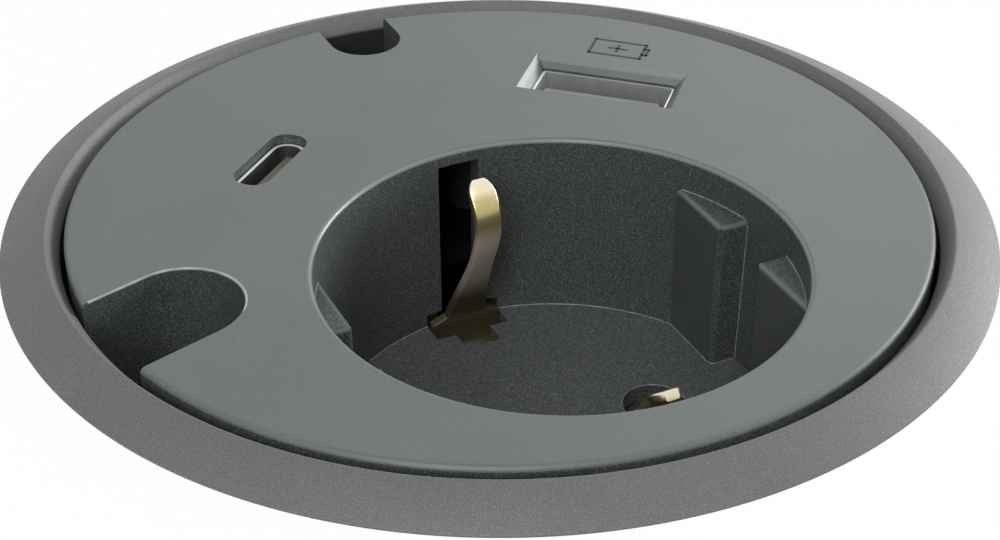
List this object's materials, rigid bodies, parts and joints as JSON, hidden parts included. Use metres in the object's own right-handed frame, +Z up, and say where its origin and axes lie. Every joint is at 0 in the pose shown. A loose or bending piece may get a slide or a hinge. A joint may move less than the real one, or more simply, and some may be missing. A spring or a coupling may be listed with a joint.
{
  "type": "in-desk power module",
  "caption": "Round in-desk power module: flanged trim ring, earthed socket well with pin holes and earth clips, two charging ports, cable notches, clamp nut and closed housing below.",
  "frame": {"origin": "centre of the trim ring in the plane of the desk's surface, which is the underside of the flange", "axes": "+Z up out of the desk along the ring's axis; +X along the line through the two pin holes; +Y from the socket well towards the small cable notch"},
  "size_m": [0.092, 0.092, 0.0539],
  "materials": {
    "ring_plastic": "fine-grained matt moulding",
    "face_plastic": "fine-grained matt moulding",
    "black_plastic": "matt moulding",
    "contact_plastic": "pale thermoset moulding",
    "tongue_plastic": "grey moulding",
    "cable_plastic": "grey flat cable",
    "lead_plastic": "insulated lead",
    "coil_tape": "yellow winding tape",
    "capacitor_can": "shrink sleeve on an aluminium can",
    "board": "solder-masked circuit board",
    "fuse_body": "glass tube with end caps",
    "ferrite": "sintered ferrite",
    "zinc_steel": "zinc plated",
    "port_steel": "nickel-plated sheet",
    "nickel_brass": "nickel-plated brass sheet",
    "spring_brass": "bare spring brass sheet",
    "gland_rubber": "moulded seal"
  },
  "bodies": {
    "root": {"trim_ring": "ring_plastic", "clamp_nut": "black_plastic", "face_plate": "face_plastic", "socket_floor": "face_plastic", "floor_screws": "zinc_steel", "contact_base": "contact_plastic", "line_contact": "nickel_brass", "neutral_contact": "nickel_brass", "earth_bracket": "spring_brass", "earth_pillar": "spring_brass", "contact_screws": "zinc_steel", "terminal_screws": "nickel_brass", "usb_a_shell": "port_steel", "usb_a_tongue": "tongue_plastic", "usb_a_contacts": "spring_brass", "usb_c_shell": "port_steel", "usb_c_tongue": "black_plastic", "port_board": "board", "port_board_screws": "zinc_steel", "ribbon_cable": "cable_plastic", "power_board": "board", "board_screws": "zinc_steel", "board_leads": "lead_plastic", "transformer_core": "ferrite", "transformer_coil": "coil_tape", "input_capacitor": "capacitor_can", "output_capacitor": "capacitor_can", "bridge_rectifier": "black_plastic", "fuse": "fuse_body", "insulation_plate": "contact_plastic", "lower_housing": "black_plastic", "base_cover": "black_plastic", "cover_screws": "zinc_steel", "cord_gland": "black_plastic", "gland_seal": "gland_rubber", "gland_cap": "black_plastic", "gland_locknut": "black_plastic"}
  },
  "joints": []
}
